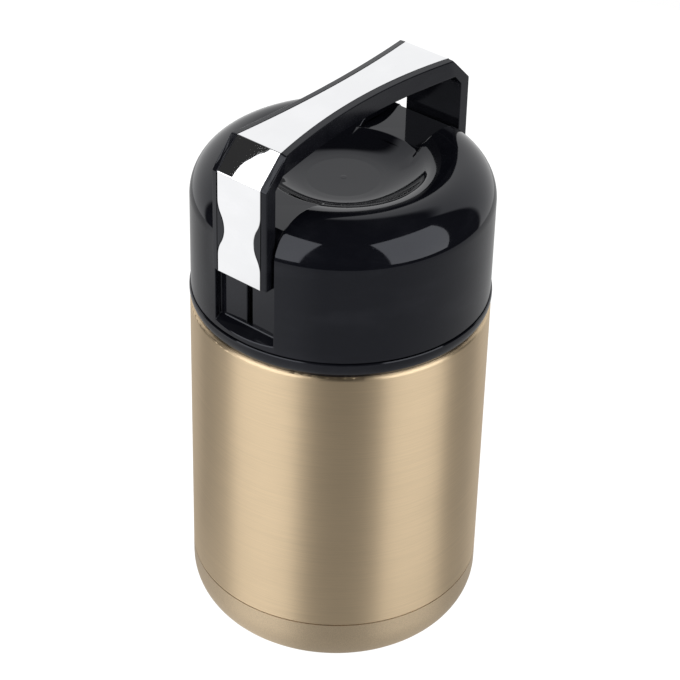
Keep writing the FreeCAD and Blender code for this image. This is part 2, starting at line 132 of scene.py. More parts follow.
class JarSizes(PropertyGroup):
    """Sizes of the forms that are modelled here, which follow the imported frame."""

    shoulder_arc: length("Shoulder arc", 0.0157, "Radius between the lid's side wall and its crest")
    crest_arc: length("Crest arc", 0.024, "Radius of the crest between the shoulder and the dish")
    crease_reach: length("Crease reach", 0.0323, "Distance of the dish's upper edge from the axis")
    crease_height: length("Crease height", 0.2039, "Height of the dish's upper edge")
    dish_arc: length("Dish arc", 0.0269, "Radius of the dished top")
    disc_reach: length("Disc reach", 0.0143, "Radius of the round disc in the dish")
    disc_height: length("Disc height", 0.197, "Height of the dish where it meets the disc")
    disc_step: length("Disc step", 0.00012, "Depth of the step round the disc")
    step_width: length("Step width", 0.0004, "Width of the step round the disc")
    gate_reach: length("Gate mark", 0.0011, "Radius of the moulding mark in the disc's middle")
    gate_rise: length("Gate rise", 0.00012, "Height of the moulding mark")
    lid_wall: length("Lid wall", 0.0018, "Thickness of the domed lid")
    channel_half: length("Channel half width", 0.0142, "Half the width of a handle channel")
    channel_floor: length("Channel floor", 0.0532, "Distance of a channel's floor from the axis")
    notch_height: length("Notch height", 0.202, "Height of the notch that the bar sinks into")
    notch_chamfer: length("Notch chamfer", 0.0028, "Drop of the slope between notch and channel floor")
    support_gap: length("Edge strip", 0.0006, "Width of the even strip along a channel's edges")
    ramp_top: length("Ramp top", 0.156, "Height where a channel's floor starts to slope outwards")
    ramp_lip: length("Ramp lip", 0.1534, "Height of the slope's outer end")
    slot_half: length("Slot half width", 0.0012, "Half the width of the slot in a channel's floor")
    slot_low: length("Slot low", 0.1564, "Lowest point of the slot")
    slot_high: length("Slot high", 0.1906, "Highest point of the slot")
    edge_round: length("Edge rounding", 0.00045, "Radius on the moulded edges")
    ring_under: length("Ring underside", 0.1451, "Height of the collar ring's lower edge")
    ring_top: length("Ring top", 0.1511, "Height of the collar ring's upper edge")
    ring_tuck: length("Ring tuck", 0.0016, "Distance that the ring draws in over the steel")
    ring_bulge: length("Ring bulge", 0.0078, "Radius of the ring's bulging side")
    ring_skirt: length("Ring skirt", 0.0030, "Distance from the ring's outside to the hollow under it")
    hollow_top: length("Hollow top", 0.1494, "Height of the ceiling of the hollow under the ring")
    foot_outer: length("Collar foot outside", 0.0528, "Outer radius of the collar's inner foot")
    foot_inner: length("Collar foot inside", 0.0512, "Inner radius of the collar's inner foot")
    neck_flare: length("Neck flare", 0.1514, "Height where the neck's inside starts to widen downwards")
    neck_inner: length("Neck inside", 0.0445, "Radius inside the collar's screw neck")
    bar_end: length("Bar end", 0.0483, "Distance of the bar's ends from the axis")
    bar_low: length("Bar level", 0.2235, "Height over which the handle draws in to its waist")
    bar_slope: length("Bar slope", 0.2285, "Height over which the bar's outer slopes lie")
    handle_waist: length("Handle waist", 0.0086, "Half width of the bar in its middle")
    slope_drop: length("Slope drop", 0.0010, "Depth of a leg's outer slopes before they rise")
    edge_reach: length("Edge reach", 0.0009, "Width of the zone along the handle's sides that is widened")
    slope_gain: length("Slope gain", 0.0007, "Distance that the outer slopes rise to their shallow angle")
    handle_gain: length("Handle gain", 0.0006, "Width added to each side of the handle")
    handle_round: length("Handle rounding", 0.0004, "Radius on the handle's edges")
    trim_round: length("Trim rounding", 0.00025, "Radius on the bright trim's edges")
    neck_reach: length("Neck", 0.0461, "Radius of the collar's screw neck")
    skirt_reach: length("Skirt", 0.0469, "Radius inside the lid's screw skirt")
    thread_rise: length("Thread height", 0.00065, "Height of a thread rib over its neck or skirt")
    thread_foot: length("Thread foot", 0.0010, "Half the width of a rib where it stands")
    thread_crest: length("Thread crest", 0.00035, "Half the width of a rib's crest")
    thread_low: length("Thread start", 0.1542, "Height of the lower end of the collar's ribs")
    thread_lead: length("Thread lead", 0.010, "Rise of the lid in one turn")
    thread_sweep: FloatProperty(
        name="Thread sweep", description="Turn that each rib covers", default=math.radians(216),
        subtype="ANGLE")
    thread_starts: IntProperty(name="Thread starts", description="Number of thread ribs", default=3, min=1)


class JarColours(PropertyGroup):
    """Colours of the jar's finishes."""

    steel: tint("Champagne steel", (0.70, 0.55, 0.365), "Brushed body")
    cap: tint("Champagne lacquer", (0.64, 0.51, 0.35), "Base cap")
    bare: tint("Bare steel", (0.60, 0.60, 0.59), "Food chamber and hidden steel")
    gloss: tint("Gloss black", (0.0030, 0.0032, 0.0048), "Lid and collar")
    handle: tint("Handle black", (0.0040, 0.0042, 0.0058), "Handle frame")
    satin: tint("Satin black", (0.022, 0.022, 0.024), "Inner mouldings")
    chrome: tint("Bright trim", (0.90, 0.905, 0.92), "Metallised strip of the handle")
    silicone: tint("Silicone", (0.55, 0.55, 0.54), "Seals")
    acetal: tint("Natural plastic", (0.75, 0.74, 0.70), "Sliding shoes")
    foam: tint("Foam", (0.85, 0.85, 0.82), "Filling of the stopper")
    vent: tint("Vent red", (0.35, 0.02, 0.015), "Vent button")
    wire: tint("Spring wire", (0.60, 0.60, 0.60), "Vent spring")
    solder: tint("Solder", (0.55, 0.55, 0.56), "Pump-out seal and getter cup")


class JarStage(PropertyGroup):
    """Camera, lamps and table of the studio."""

    camera_place: FloatVectorProperty(
        name="Camera place", description="Where the camera stands", default=(-0.6022, -0.4887, 0.6555),
        subtype="TRANSLATION", size=3)
    camera_aim: FloatVectorProperty(
        name="Camera aim", description="Point in the middle of the picture",
        default=(0.00017, -0.0002, 0.1223), subtype="TRANSLATION", size=3)
    camera_roll: FloatProperty(
        name="Camera roll", description="Tilt of the camera about its line of sight",
        default=math.radians(1.4974), subtype="ANGLE")
    camera_lens: amount("Lens", 126.19, "Focal length on a 36 mm sensor")
    lamp_level: amount("Lamp level", 2.6, "Radiance of the two soft boxes")
    table_seen: amount("Table seen", 1.16, "Glow of the table to the camera")
    table_flat: amount("Table flatness", 0.90, "Share of the glow in what the camera sees of the table")
    table_level: amount("Table level", 0.45, "Brightness of the table in reflections")
    table_left: amount("Table left", 0.25, "Added brightness of the table on the left")
    table_far: amount("Table far left", 0.36, "Added brightness far out on the left")
    table_right: amount("Table right", 0.06, "Added brightness of the table on the right")
    room_level: amount("Room level", 0.03, "Brightness of the dim room in reflections")
    room_fill: amount("Room fill", 0.45, "Light of the room on dull surfaces")
    table_reach: length("Table radius", 0.58, "Radius of the round table top")


class Value:
    """A socket that takes part in Python sums, each of which adds its Math node."""

    def __init__(self, finish, socket):
        self.finish = finish
        self.socket = socket

    def math(self, operation, first, second=0.0):
        """The result of one Math node."""
        return self.finish.node("ShaderNodeMath", {"operation": operation}, {0: first, 1: second})

    def __add__(self, other):
        return self.math("ADD", self, other)

    def __sub__(self, other):
        return self.math("SUBTRACT", self, other)

    def __rsub__(self, other):
        return self.math("SUBTRACT", other, self)

    def __mul__(self, other):
        return self.math("MULTIPLY", self, other)

    __radd__ = __add__
    __rmul__ = __mul__


class Finish:
    """A node tree under construction, and the shader in it that a surface shows."""

    def __init__(self, tree, shader=None):
        self.tree = tree
        self.shader = shader

    def node(self, kind, settings, inputs, output=0):
        """Adds one node, with its settings set first, and gives one of its outputs."""
        added = self.tree.nodes.new(kind)
        for name, setting in settings.items():
            setattr(added, name, setting)
        for name, value in inputs.items():
            self.feed(added.inputs[name], value)
        return Value(self, added.outputs[output])

    def feed(self, socket, value):
        """Links a value to a socket, or sets the socket to a number or colour."""
        if isinstance(value, Value):
            self.tree.links.new(value.socket, socket)
        elif socket.type == "RGBA" and len(value) == 3:
            socket.default_value = (*value, 1.0)
        else:
            socket.default_value = value

    def place(self):
        """The point on the surface, in the jar's own frame."""
        return self.node("ShaderNodeTexCoord", {}, {}, "Object")

    def vector(self, operation, first, second=ORIGIN, output=0):
        """One output of a vector operation."""
        return self.node("ShaderNodeVectorMath", {"operation": operation}, {0: first, 1: second}, output)

    def stretched(self, x, y, z):
        """The point on the surface, scaled along each axis."""
        return self.vector("MULTIPLY", self.place(), (x, y, z))

    def noise(self, vector, scale, detail=2.0, roughness=0.5):
        """Soft noise from 0 to 1."""
        inputs = {"Vector": vector, "Scale": scale, "Detail": detail, "Roughness": roughness}
        return self.node("ShaderNodeTexNoise", {}, inputs, "Fac")

    def ramp(self, value, low, high, start=0.0, end=1.0):
        """A value from start to end while the given one goes from low to high."""
        inputs = {"Value": value, "From Min": low, "From Max": high, "To Min": start, "To Max": end}
        return self.node("ShaderNodeMapRange", {"interpolation_type": "SMOOTHSTEP"}, inputs)

    def mix(self, share, first, second):
        """A colour between two others, which the Mix node takes as inputs 6 and 7 and gives as output 2."""
        return self.node("ShaderNodeMix", {"data_type": "RGBA"}, {0: share, 6: first, 7: second}, 2)

    def bump(self, height, strength, distance, under=None):
        """A surface normal tilted by a height pattern, over another one if there is one."""
        inputs = {"Height": height, "Strength": strength, "Distance": distance}
        if under is not None:
            inputs["Normal"] = under
        return self.node("ShaderNodeBump", {}, inputs)

    def rays(self):
        """Whether light goes straight to the camera, and whether it goes by way of a shiny surface."""
        path = self.tree.nodes.new("ShaderNodeLightPath")
        seen, glossy, through = (
            Value(self, path.outputs[f"Is {kind} Ray"]) for kind in ("Camera", "Glossy", "Transmission"))
        return seen, glossy + through

    def end(self, kind, shader):
        """Ends the tree with an output node that shows the given shader."""
        output = self.tree.nodes.new(kind)
        self.tree.links.new(shader.socket, output.inputs["Surface"])

    def show(self, **sockets):
        """Feeds the shader's sockets, named with underscores for spaces."""
        for name, value in sockets.items():
            self.feed(self.shader.inputs[name.replace("_", " ")], value)


def shade(colour, factor):
    """A colour made darker or lighter."""
    return tuple(factor * channel for channel in colour)


def new_finish(name, metallic, **constants):
    """A material whose shader has the given constants."""
    material = bpy.data.materials.new(name)
    material.use_nodes = True
    finish = Finish(material.node_tree, material.node_tree.nodes["Principled BSDF"])
    finish.show(Metallic=metallic, **constants)
    return material, finish


def brushed_steel(name, colours):
    """Steel brushed round the body: long fine streaks along the hoop direction."""
    source, roughness, streak, anisotropy = BRUSHINGS[name]
    colour = getattr(colours, source)
    material, finish = new_finish(name, 1.0, Anisotropic=anisotropy, Anisotropic_Rotation=HOOP_BRUSHED)
    fine = finish.noise(finish.stretched(60, 60, 9000), 1.0, detail=3.0, roughness=0.6)
    broad = finish.noise(finish.stretched(22, 22, 2400), 1.0)
    cloud = finish.noise(finish.place(), 34.0, detail=3.0)
    lines = fine * 0.65 + broad * 0.35
    streaks = finish.ramp(lines + (cloud - 0.5) * 0.25, 0.36, 0.64)
    finish.show(
        Base_Color=finish.mix(streaks, shade(colour, 0.95), shade(colour, 1.04)),
        Roughness=roughness + (lines - 0.5) * streak,
        Normal=finish.bump(lines, strength=0.04, distance=0.00001),
    )
    return material


def champagne_lacquer(name, colours):
    """Satin metallic lacquer: fine flakes under a soft sheen."""
    material, finish = new_finish(
        name, 1.0, Coat_Roughness=0.25, Coat_IOR=1.4,
        Anisotropic=0.8, Anisotropic_Rotation=HOOP_BRUSHED)
    flakes = finish.noise(finish.place(), 2600.0)
    cloud = finish.noise(finish.place(), 30.0, detail=3.0)
    sparkle = finish.ramp(flakes, 0.38, 0.62)
    finish.show(
        Base_Color=finish.mix(sparkle, shade(colours.cap, 0.93), shade(colours.cap, 1.06)),
        Roughness=0.42 + (cloud - 0.5) * 0.06,
        Coat_Weight=0.08,
        Normal=finish.bump(flakes, strength=0.05, distance=0.00002),
    )
    return material


def moulded_plastic(name, colours):
    """Moulded plastic: faint flow waves, a fine grain and a little handling dust in its gloss."""
    source, roughness, grain, waves, dust = MOULDINGS[name]
    colour = getattr(colours, source)
    material, finish = new_finish(name, 0.0, IOR=1.40, Specular_Tint=(0.88, 0.91, 1.0))
    flow = finish.noise(finish.stretched(1, 1, 0.6), 38.0, detail=1.0)
    fine = finish.noise(finish.place(), 3200.0)
    smear = finish.noise(finish.stretched(1, 1, 3), 26.0, detail=4.0, roughness=0.65)
    specks = finish.ramp(finish.noise(finish.place(), 900.0, detail=1.0), 0.74, 0.80)
    lighter = tuple(channel + 0.002 for channel in shade(colour, 1.35))
    wavy = finish.bump(flow, strength=waves, distance=0.0006)
    finish.show(
        Base_Color=finish.mix(finish.ramp(smear, 0.45, 0.75), colour, lighter),
        Roughness=roughness + finish.ramp(smear, 0.4, 0.8) * 0.05 + specks * dust,
        Normal=finish.bump(fine, strength=grain, distance=0.00003, under=wavy),
    )
    return material


def bright_metallised(name, colours):
    """Mirror-bright metallised strip, with faint finger smears in its gloss."""
    material, finish = new_finish(name, 1.0)
    smear = finish.noise(finish.stretched(1, 1, 2), 55.0, detail=4.0, roughness=0.6)
    waves = finish.noise(finish.place(), 45.0, detail=1.0)
    finish.show(
        Base_Color=finish.mix(finish.ramp(smear, 0.4, 0.7), shade(colours.chrome, 0.97), colours.chrome),
        Roughness=0.012 + finish.ramp(smear, 0.5, 0.8) * 0.03,
        Normal=finish.bump(waves, strength=0.22, distance=0.0006),
    )
    return material


def grey_silicone(name, colours):
    """Translucent silicone with a dull skin."""
    material, finish = new_finish(name, 0.0, IOR=1.41, Subsurface_Weight=0.35, Subsurface_Scale=0.002)
    skin = finish.noise(finish.place(), 1500.0)
    cloud = finish.noise(finish.place(), 120.0)
    finish.show(
        Base_Color=finish.mix(cloud, shade(colours.silicone, 0.88), colours.silicone),
        Roughness=0.45 + (skin - 0.5) * 0.12,
        Normal=finish.bump(skin, strength=0.15, distance=0.00003),
    )
    return material


def white_foam(name, colours):
    """Closed-cell foam, with a network of small cells."""
    material, finish = new_finish(name, 0.0)
    cells = finish.node("ShaderNodeTexVoronoi", {}, {"Vector": finish.place(), "Scale": 900.0}, "Distance")
    finish.show(
        Base_Color=finish.mix(finish.ramp(cells, 0.1, 0.6), colours.foam, shade(colours.foam, 0.82)),
        Roughness=0.75 + cells * 0.15,
        Normal=finish.bump(cells, strength=0.5, distance=0.0002),
    )
    return material


def spring_wire(name, colours):
    """Drawn wire with lengthwise die marks."""
    material, finish = new_finish(name, 1.0)
    marks = finish.noise(finish.stretched(300, 300, 4000), 1.0)
    finish.show(
        Base_Color=finish.mix(marks, shade(colours.wire, 0.85), colours.wire),
        Roughness=0.25 + marks * 0.15,
        Normal=finish.bump(marks, strength=0.1, distance=0.00002),
    )
    return material


def dull_solder(name, colours):
    """Dull cast metal with a grainy skin."""
    material, finish = new_finish(name, 1.0)
    grains = finish.noise(finish.place(), 700.0, detail=3.0)
    finish.show(
        Base_Color=finish.mix(grains, shade(colours.solder, 0.80), colours.solder),
        Roughness=0.42 + grains * 0.2,
        Normal=finish.bump(grains, strength=0.3, distance=0.0001),
    )
    return material


# Finish of each of the record's slots: the material's name and the function that makes it.
SLOT_FINISHES = {
    "gold_brushed_steel": ("champagne_steel", brushed_steel),
    "gold_satin_cap": ("champagne_lacquer", champagne_lacquer),
    "bare_steel": ("bare_steel", brushed_steel),
    "solder": ("dull_solder", dull_solder),
    "black_gloss": ("gloss_black", moulded_plastic),
    "black_handle": ("handle_black", moulded_plastic),
    "black_satin": ("satin_black", moulded_plastic),
    "chrome_trim": ("bright_metallised", bright_metallised),
    "natural_acetal": ("natural_acetal", moulded_plastic),
    "silicone": ("grey_silicone", grey_silicone),
    "white_foam": ("white_foam", white_foam),
    "vent_red": ("vent_red", moulded_plastic),
    "spring_wire": ("spring_wire", spring_wire),
}


def finish_of(slot):
    """The material of one of the record's slots, made when it is first asked for."""
    name, make = SLOT_FINISHES[slot]
    return bpy.data.materials.get(name) or make(name, bpy.context.scene.jar_colours)


def dress_nodes(slot, *names):
    """Gives CAD nodes the finish of their slot."""
    for name in names:
        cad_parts[name].material_slots[0].material = finish_of(slot)


def hand_over(piece, body, slot, *nodes):
    """Gives a finished piece its material and its body, and hides the nodes it stands for."""
    piece.data.materials.clear()
    piece.data.materials.append(finish_of(slot))
    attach(piece, body)
    if nodes:
        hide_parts(*nodes)


def deselect():
    """Leaves nothing selected, so that an operator acts only on what it is given."""
    bpy.ops.object.select_all(action="DESELECT")


def choose(piece):
    """Leaves one piece selected and active."""
    deselect()
    piece.select_set(True)
    bpy.context.view_layer.objects.active = piece


def duplicate(source, name):
    """A copy of an object, under a new name."""
    choose(source)
    bpy.ops.object.duplicate(linked=False)
    piece = bpy.context.object
    piece.name = name
    piece.data.name = name
    return piece


def edit(piece):
    """Opens a piece in edit mode with all of it selected."""
    choose(piece)
    bpy.ops.object.mode_set(mode="EDIT")
    bpy.ops.mesh.select_mode(type="VERT")
    bpy.ops.mesh.select_all(action="SELECT")


def weld():
    """Merges vertices of the open piece that lie on one another."""
    bpy.ops.mesh.select_all(action="SELECT")
    bpy.ops.mesh.remove_doubles(threshold=WELD)


def face_outwards():
    """Turns every face of the open piece outwards."""
    bpy.ops.mesh.select_all(action="SELECT")
    bpy.ops.mesh.normals_make_consistent(inside=False)


def pick(piece, kind, wanted):
    """Selects the vertices, edges or faces of a piece that the test wants, and nothing else."""
    bpy.ops.mesh.select_mode(type=kind)
    bpy.ops.mesh.select_all(action="DESELECT")
    mesh = bmesh.from_edit_mesh(piece.data)
    mesh.normal_update()
    for part in {"VERT": mesh.verts, "EDGE": mesh.edges, "FACE": mesh.faces}[kind]:
        if wanted(part):
            part.select_set(True)
    mesh.select_flush_mode()
    bmesh.update_edit_mesh(piece.data)


def close_edit():
    """Leaves edit mode."""
    bpy.ops.object.mode_set(mode="OBJECT")


def apply_modifier(piece, kind, **settings):
    """Adds a modifier to a piece and applies it."""
    choose(piece)
    bpy.ops.object.modifier_add(type=kind)
    modifier = piece.modifiers[-1]
    for name, value in settings.items():
        setattr(modifier, name, value)
    bpy.ops.object.modifier_apply(modifier=modifier.name)


def smooth(piece, degrees):
    """Shades a piece smooth, apart from edges sharper than the given angle."""
    choose(piece)
    bpy.ops.object.shade_smooth_by_angle(angle=math.radians(degrees))


class Profile:
    """A side view in the XZ plane, with straight runs, rounded corners and arcs."""

    def __init__(self, x, z):
        self.steps = [(Vector((x, 0.0, z)), 0.0, 0.0)]

    def line(self, x, z, corner=0.0):
        """Straight run to (x, z), where the corner is rounded by the given radius."""
        self.steps.append((Vector((x, 0.0, z)), corner, 0.0))
        return self

    def arc(self, x, z, radius):
        """Arc to (x, z). A positive radius turns left on the way, a negative one turns right."""
        self.steps.append((Vector((x, 0.0, z)), 0.0, radius))
        return self

    def path(self, step=math.radians(7.5)):
        """The profile's points, with a point at least at each given turn of an arc."""
        points = [self.steps[0][0]]
        for index in range(1, len(self.steps)):
            point, corner, radius = self.steps[index]
            if radius:
                points += arc_points(points[-1], point, radius, step)
            elif corner:
                coming = (point - points[-1]).normalized()
                going = (self.steps[index + 1][0] - point).normalized()
                turn = coming.angle(going)
                back = corner * math.tan(turn / 2)
                side = math.copysign(1.0, coming.x * going.z - coming.z * going.x)
                points.append(point - coming * back)
                points += arc_points(points[-1], point + going * back, side * corner, step)
            else:
                points.append(point)
        return points


def arc_points(start, end, radius, step):
    """Points along an arc in the XZ plane, without its start."""
    chord = end - start
    left = Vector((-chord.z, 0.0, chord.x)).normalized()
    rise = math.sqrt(max(radius * radius - chord.length_squared / 4, 0.0))
    centre = (start + end) / 2 + left * math.copysign(rise, radius)
    sweep = 2 * math.asin(min(1.0, chord.length / 2 / abs(radius)))
    count = max(2, math.ceil(sweep / step))
    points = []
    for index in range(1, count + 1):
        turned = Matrix.Rotation(-math.copysign(sweep * index / count, radius), 3, "Y")
        points.append(centre + turned @ (start - centre))
    return points


def draw(name, path):
    """A new piece in edit mode: a chain of edges, drawn by extruding one point along the path."""
    deselect()
    bpy.ops.mesh.primitive_plane_add(size=0.001, location=ORIGIN)
    piece = bpy.context.object
    piece.name = name
    piece.data.name = name
    bpy.ops.object.mode_set(mode="EDIT")
    bpy.ops.mesh.select_mode(type="VERT")
    bpy.ops.mesh.merge(type="CENTER")
    bpy.ops.transform.translate(value=path[0])
    for start, end in zip(path, path[1:]):
        bpy.ops.mesh.extrude_region_move(TRANSFORM_OT_translate={"value": end - start})
    return piece


def spin_round(steps):
    """Spins the open chain a full turn about the jar's axis."""
    bpy.ops.mesh.select_all(action="SELECT")
    bpy.ops.mesh.spin(steps=steps, angle=FULL_TURN, center=ORIGIN, axis=AXIS)
    weld()
    bpy.ops.mesh.normals_make_consistent(inside=False)


def bisect(piece, wanted, point, normal):
    """Adds an edge line where a plane crosses the wanted faces of a piece in edit mode."""
    pick(piece, "FACE", wanted)
    bpy.ops.mesh.bisect(plane_co=point, plane_no=normal, use_fill=False, threshold=1e-7)


def on_plane(edge, axis, level):
    """Whether both ends of an edge lie at the given level along one axis."""
    return all(abs(vert.co[axis] - level) < WELD for vert in edge.verts)


def fill_loop(piece, wanted):
    """Closes the loop of wanted edges with one flat face."""
    pick(piece, "EDGE", wanted)
    bpy.ops.mesh.edge_face_add()


def lid_profile(sizes):
    """Half section of the domed lid's skin, from its lower edge to the middle of the dished top."""
    low = sizes.disc_height - sizes.disc_step
    mark = sizes.gate_reach
    raised = low + sizes.gate_rise
    skin = Profile(LID_R, LID_LOW).line(LID_R, LID_HIGH - sizes.shoulder_arc)
    skin.arc(LID_R - sizes.shoulder_arc, LID_HIGH, sizes.shoulder_arc)
    skin.arc(sizes.crease_reach, sizes.crease_height, sizes.crest_arc)
    skin.arc(sizes.disc_reach, sizes.disc_height, -sizes.dish_arc)
    skin.line(sizes.disc_reach - sizes.step_width, low).line(mark * 1.4, low).line(mark, raised)
    skin.line(mark * 0.5, raised).line(0.0, low + sizes.gate_rise * 2 / 3)
    return skin.path(step=math.radians(5))


def cut_channel(piece, sizes, side):
    """Sinks a handle channel into one side of the lid's skin: side is 1 for +X and -1 for -X."""
    half = sizes.channel_half
    notch = sizes.notch_height
    strip = half + sizes.support_gap
    slope = (sizes.ramp_top - sizes.ramp_lip) / (LID_R + RAMP_PAST - sizes.channel_floor)
    slope_up = Vector((side * slope, 0.0, 1.0))
    ramp_point = Vector((side * sizes.channel_floor, 0.0, sizes.ramp_top))

    def near(middle):
        return middle.x * side > CHANNEL_FROM and abs(middle.y) < CHANNEL_NEAR

    def in_dish(face):
        middle = face.calc_center_median()
        return near(middle) and middle.x * side < CREST_FROM

    def on_wall(face):
        middle = face.calc_center_median()
        high = middle.z > notch or middle.x * side > WALL_FROM
        return near(middle) and middle.z > sizes.ramp_lip - RAMP_BELOW and high

    def at_ramp(face):
        middle = face.calc_center_median()
        return near(middle) and abs(middle.y) < half and middle.z < sizes.slot_high

    bisect(piece, in_dish, (0, 0, notch), AXIS)
    for level in (half, -half, strip, -strip):
        bisect(piece, on_wall, (0, level, 0), (0, 1, 0))
    bisect(piece, at_ramp, ramp_point, slope_up)

    def inside_strip(vert):
        return vert.co.x * side > CHANNEL_FROM and half + WELD < abs(vert.co.y) < strip - WELD

    pick(piece, "VERT", inside_strip)
    bpy.ops.mesh.dissolve_verts()

    def over_channel(face):
        middle = face.calc_center_median()
        above_ramp = slope_up.dot(middle - ramp_point) > 0.0
        high = middle.z > notch or middle.x * side > WALL_FROM
        return near(middle) and abs(middle.y) < half and above_ramp and high

    pick(piece, "FACE", over_channel)
    bpy.ops.mesh.delete(type="FACE")
    line_channel(piece, sizes, side)


def line_channel(piece, sizes, side):
    """Adds the notch, the slope, the floor, the ramp and the side walls of a sunk channel."""
    half = sizes.channel_half
    floor = side * sizes.channel_floor
    edge = floor - side * sizes.notch_chamfer * CHAMFER_RUN
    notch = sizes.notch_height
    chain = [
        Vector((edge, -half, notch)),
        Vector((floor, -half, notch - sizes.notch_chamfer)),
        Vector((floor, -half, sizes.ramp_top)),
    ]
    corners = ends_of_channel(piece, half, side)
    for end in (-1, 1):
        start, foot = corners[end]
        pick(piece, "VERT", lambda vert: (vert.co - start).length < WELD)
        way = [Vector((point.x, end * half, point.z)) for point in chain] + [foot]
        for goal in way:
            bpy.ops.mesh.extrude_region_move(TRANSFORM_OT_translate={"value": goal - start})
            start = goal
    weld()
    for point in chain:
        pick(piece, "VERT", lambda vert: abs(vert.co.x - point.x) < WELD and abs(vert.co.z - point.z) < WELD
             and abs(abs(vert.co.y) - half) < WELD)
        bpy.ops.mesh.edge_face_add()
    fill_channel(piece, sizes, side, chain)


def ends_of_channel(piece, half, side):
    """The skin's corners at the notch and at the foot of a channel, for each of its two walls."""
    mesh = bmesh.from_edit_mesh(piece.data)
    found = {}
    for end in (-1, 1):
        rim = [
            vert.co.copy()
            for vert in mesh.verts
            if abs(vert.co.y - end * half) < WELD and vert.co.x * side > CHANNEL_FROM
            and any(link.is_boundary for link in vert.link_edges)
            and vert.co.z > LID_LOW + WELD
        ]
        found[end] = min(rim, key=lambda place: place.x * side), min(rim, key=lambda place: place.z)
    return found


def fill_channel(piece, sizes, side, chain):
    """Closes the open faces of a channel, each between edges that lie in its plane."""
    half = sizes.channel_half
    top, bend, low = chain

    def bare(edge):
        return len(edge.link_faces) < 2 and all(
            vert.co.x * side > CHANNEL_FROM and vert.co.z > LID_LOW + WELD for vert in edge.verts)

    def spans(edge, first, second):
        low_x, high_x = sorted((first.x * side, second.x * side))
        return all(
            low_x - WELD < vert.co.x * side < high_x + WELD and second.z - WELD < vert.co.z < first.z + WELD
            and abs(vert.co.y) < half + WELD
            for vert in edge.verts
        )

    for end in (-1, 1):
        fill_loop(piece, lambda edge: bare(edge) and on_plane(edge, 1, end * half))
    fill_loop(piece, lambda edge: bare(edge) and on_plane(edge, 2, top.z)
              and edge.verts[0].co.x * side < sizes.channel_floor)
    fill_loop(piece, lambda edge: bare(edge) and spans(edge, top, bend))
    fill_loop(piece, lambda edge: bare(edge) and spans(edge, bend, low))
    fill_loop(piece, lambda edge: bare(edge) and max(vert.co.z for vert in edge.verts) < low.z + WELD)


def cut_slot(piece, sizes, side):
    """Opens the slot in a channel's floor."""

    def on_floor(face):
        level = face.calc_center_median().x * side
        return abs(level - sizes.channel_floor) < WELD and abs(face.normal.x) > 0.99

    for point, normal in (
        ((0, sizes.slot_half, 0), (0, 1, 0)),
        ((0, -sizes.slot_half, 0), (0, 1, 0)),
        ((0, 0, sizes.slot_low), AXIS),
        ((0, 0, sizes.slot_high), AXIS),
    ):
        bisect(piece, on_floor, point, normal)
    pick(piece, "FACE", lambda face: on_floor(face) and abs(face.calc_center_median().y) < sizes.slot_half
         and sizes.slot_low < face.calc_center_median().z < sizes.slot_high)
    bpy.ops.mesh.delete(type="FACE")


def lid_dome(sizes):
    """The glossy domed lid: a lathed skin with two channels, given its wall and its rounded edges."""
    piece = draw("lid_dome", lid_profile(sizes))
    spin_round(LID_STEPS)
    for side in (1, -1):
        cut_channel(piece, sizes, side)
        cut_slot(piece, sizes, side)
    face_outwards()
    close_edit()
    apply_modifier(piece, "SOLIDIFY", thickness=sizes.lid_wall, offset=-1.0)
    round_edges(piece, sizes.edge_round, degrees=33)
    hand_over(piece, "lid", "black_gloss", "lid_shell")


def round_edges(piece, radius, degrees):
    """Rounds every edge sharper than the angle, and shades the piece smooth with level faces."""
    apply_modifier(piece, "BEVEL", width=radius, segments=3, limit_method="ANGLE",
                   angle_limit=math.radians(degrees), use_clamp_overlap=False)
    smooth(piece, degrees=45)
    apply_modifier(piece, "WEIGHTED_NORMAL", keep_sharp=True, weight=80)


def collar_ring(sizes):
    """The collar: a ring that tucks in over the steel, with the screw neck inside."""
    under = sizes.ring_under
    top = sizes.ring_top
    neck = sizes.neck_reach
    inner = sizes.neck_inner
    hollow = RING_R - sizes.ring_skirt
    section = Profile(hollow, under).line(RING_R - sizes.ring_tuck, under)
    section.arc(RING_R - 0.0002, top - 0.0003, sizes.ring_bulge).line(RING_R - 0.0005, top)
    section.line(neck, top, corner=0.0008).line(neck, NECK_TOP, corner=0.0004)
    section.line(inner, NECK_TOP, corner=0.0002).line(inner, sizes.neck_flare, corner=0.0005)
    section.line(sizes.foot_inner, under + 0.0003).line(sizes.foot_inner, under).line(sizes.foot_outer, under)
    section.line(sizes.foot_outer, sizes.hollow_top, corner=0.0005)
    section.line(hollow, sizes.hollow_top, corner=0.0005).line(hollow, under)
    piece = draw("collar_ring", section.path())
    weld()
    spin_round(RING_STEPS)
    close_edit()
    smooth(piece, degrees=40)
    apply_modifier(piece, "WEIGHTED_NORMAL", keep_sharp=True, weight=60)
    hand_over(piece, "vessel", "black_gloss", "neck_collar")


def merged_copy(name, node):
    """A copy of a CAD node with merged faces, left in edit mode."""
    piece = duplicate(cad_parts[node], name)
    edit(piece)
    weld()
    bpy.ops.mesh.customdata_custom_splitnormals_clear()
    bpy.ops.mesh.dissolve_limited(angle_limit=math.radians(0.3))
    return piece


def move(piece, wanted, x, y, z):
    """Moves the wanted vertices of a piece in edit mode."""
    pick(piece, "VERT", wanted)
    bpy.ops.transform.translate(value=(x, y, z))


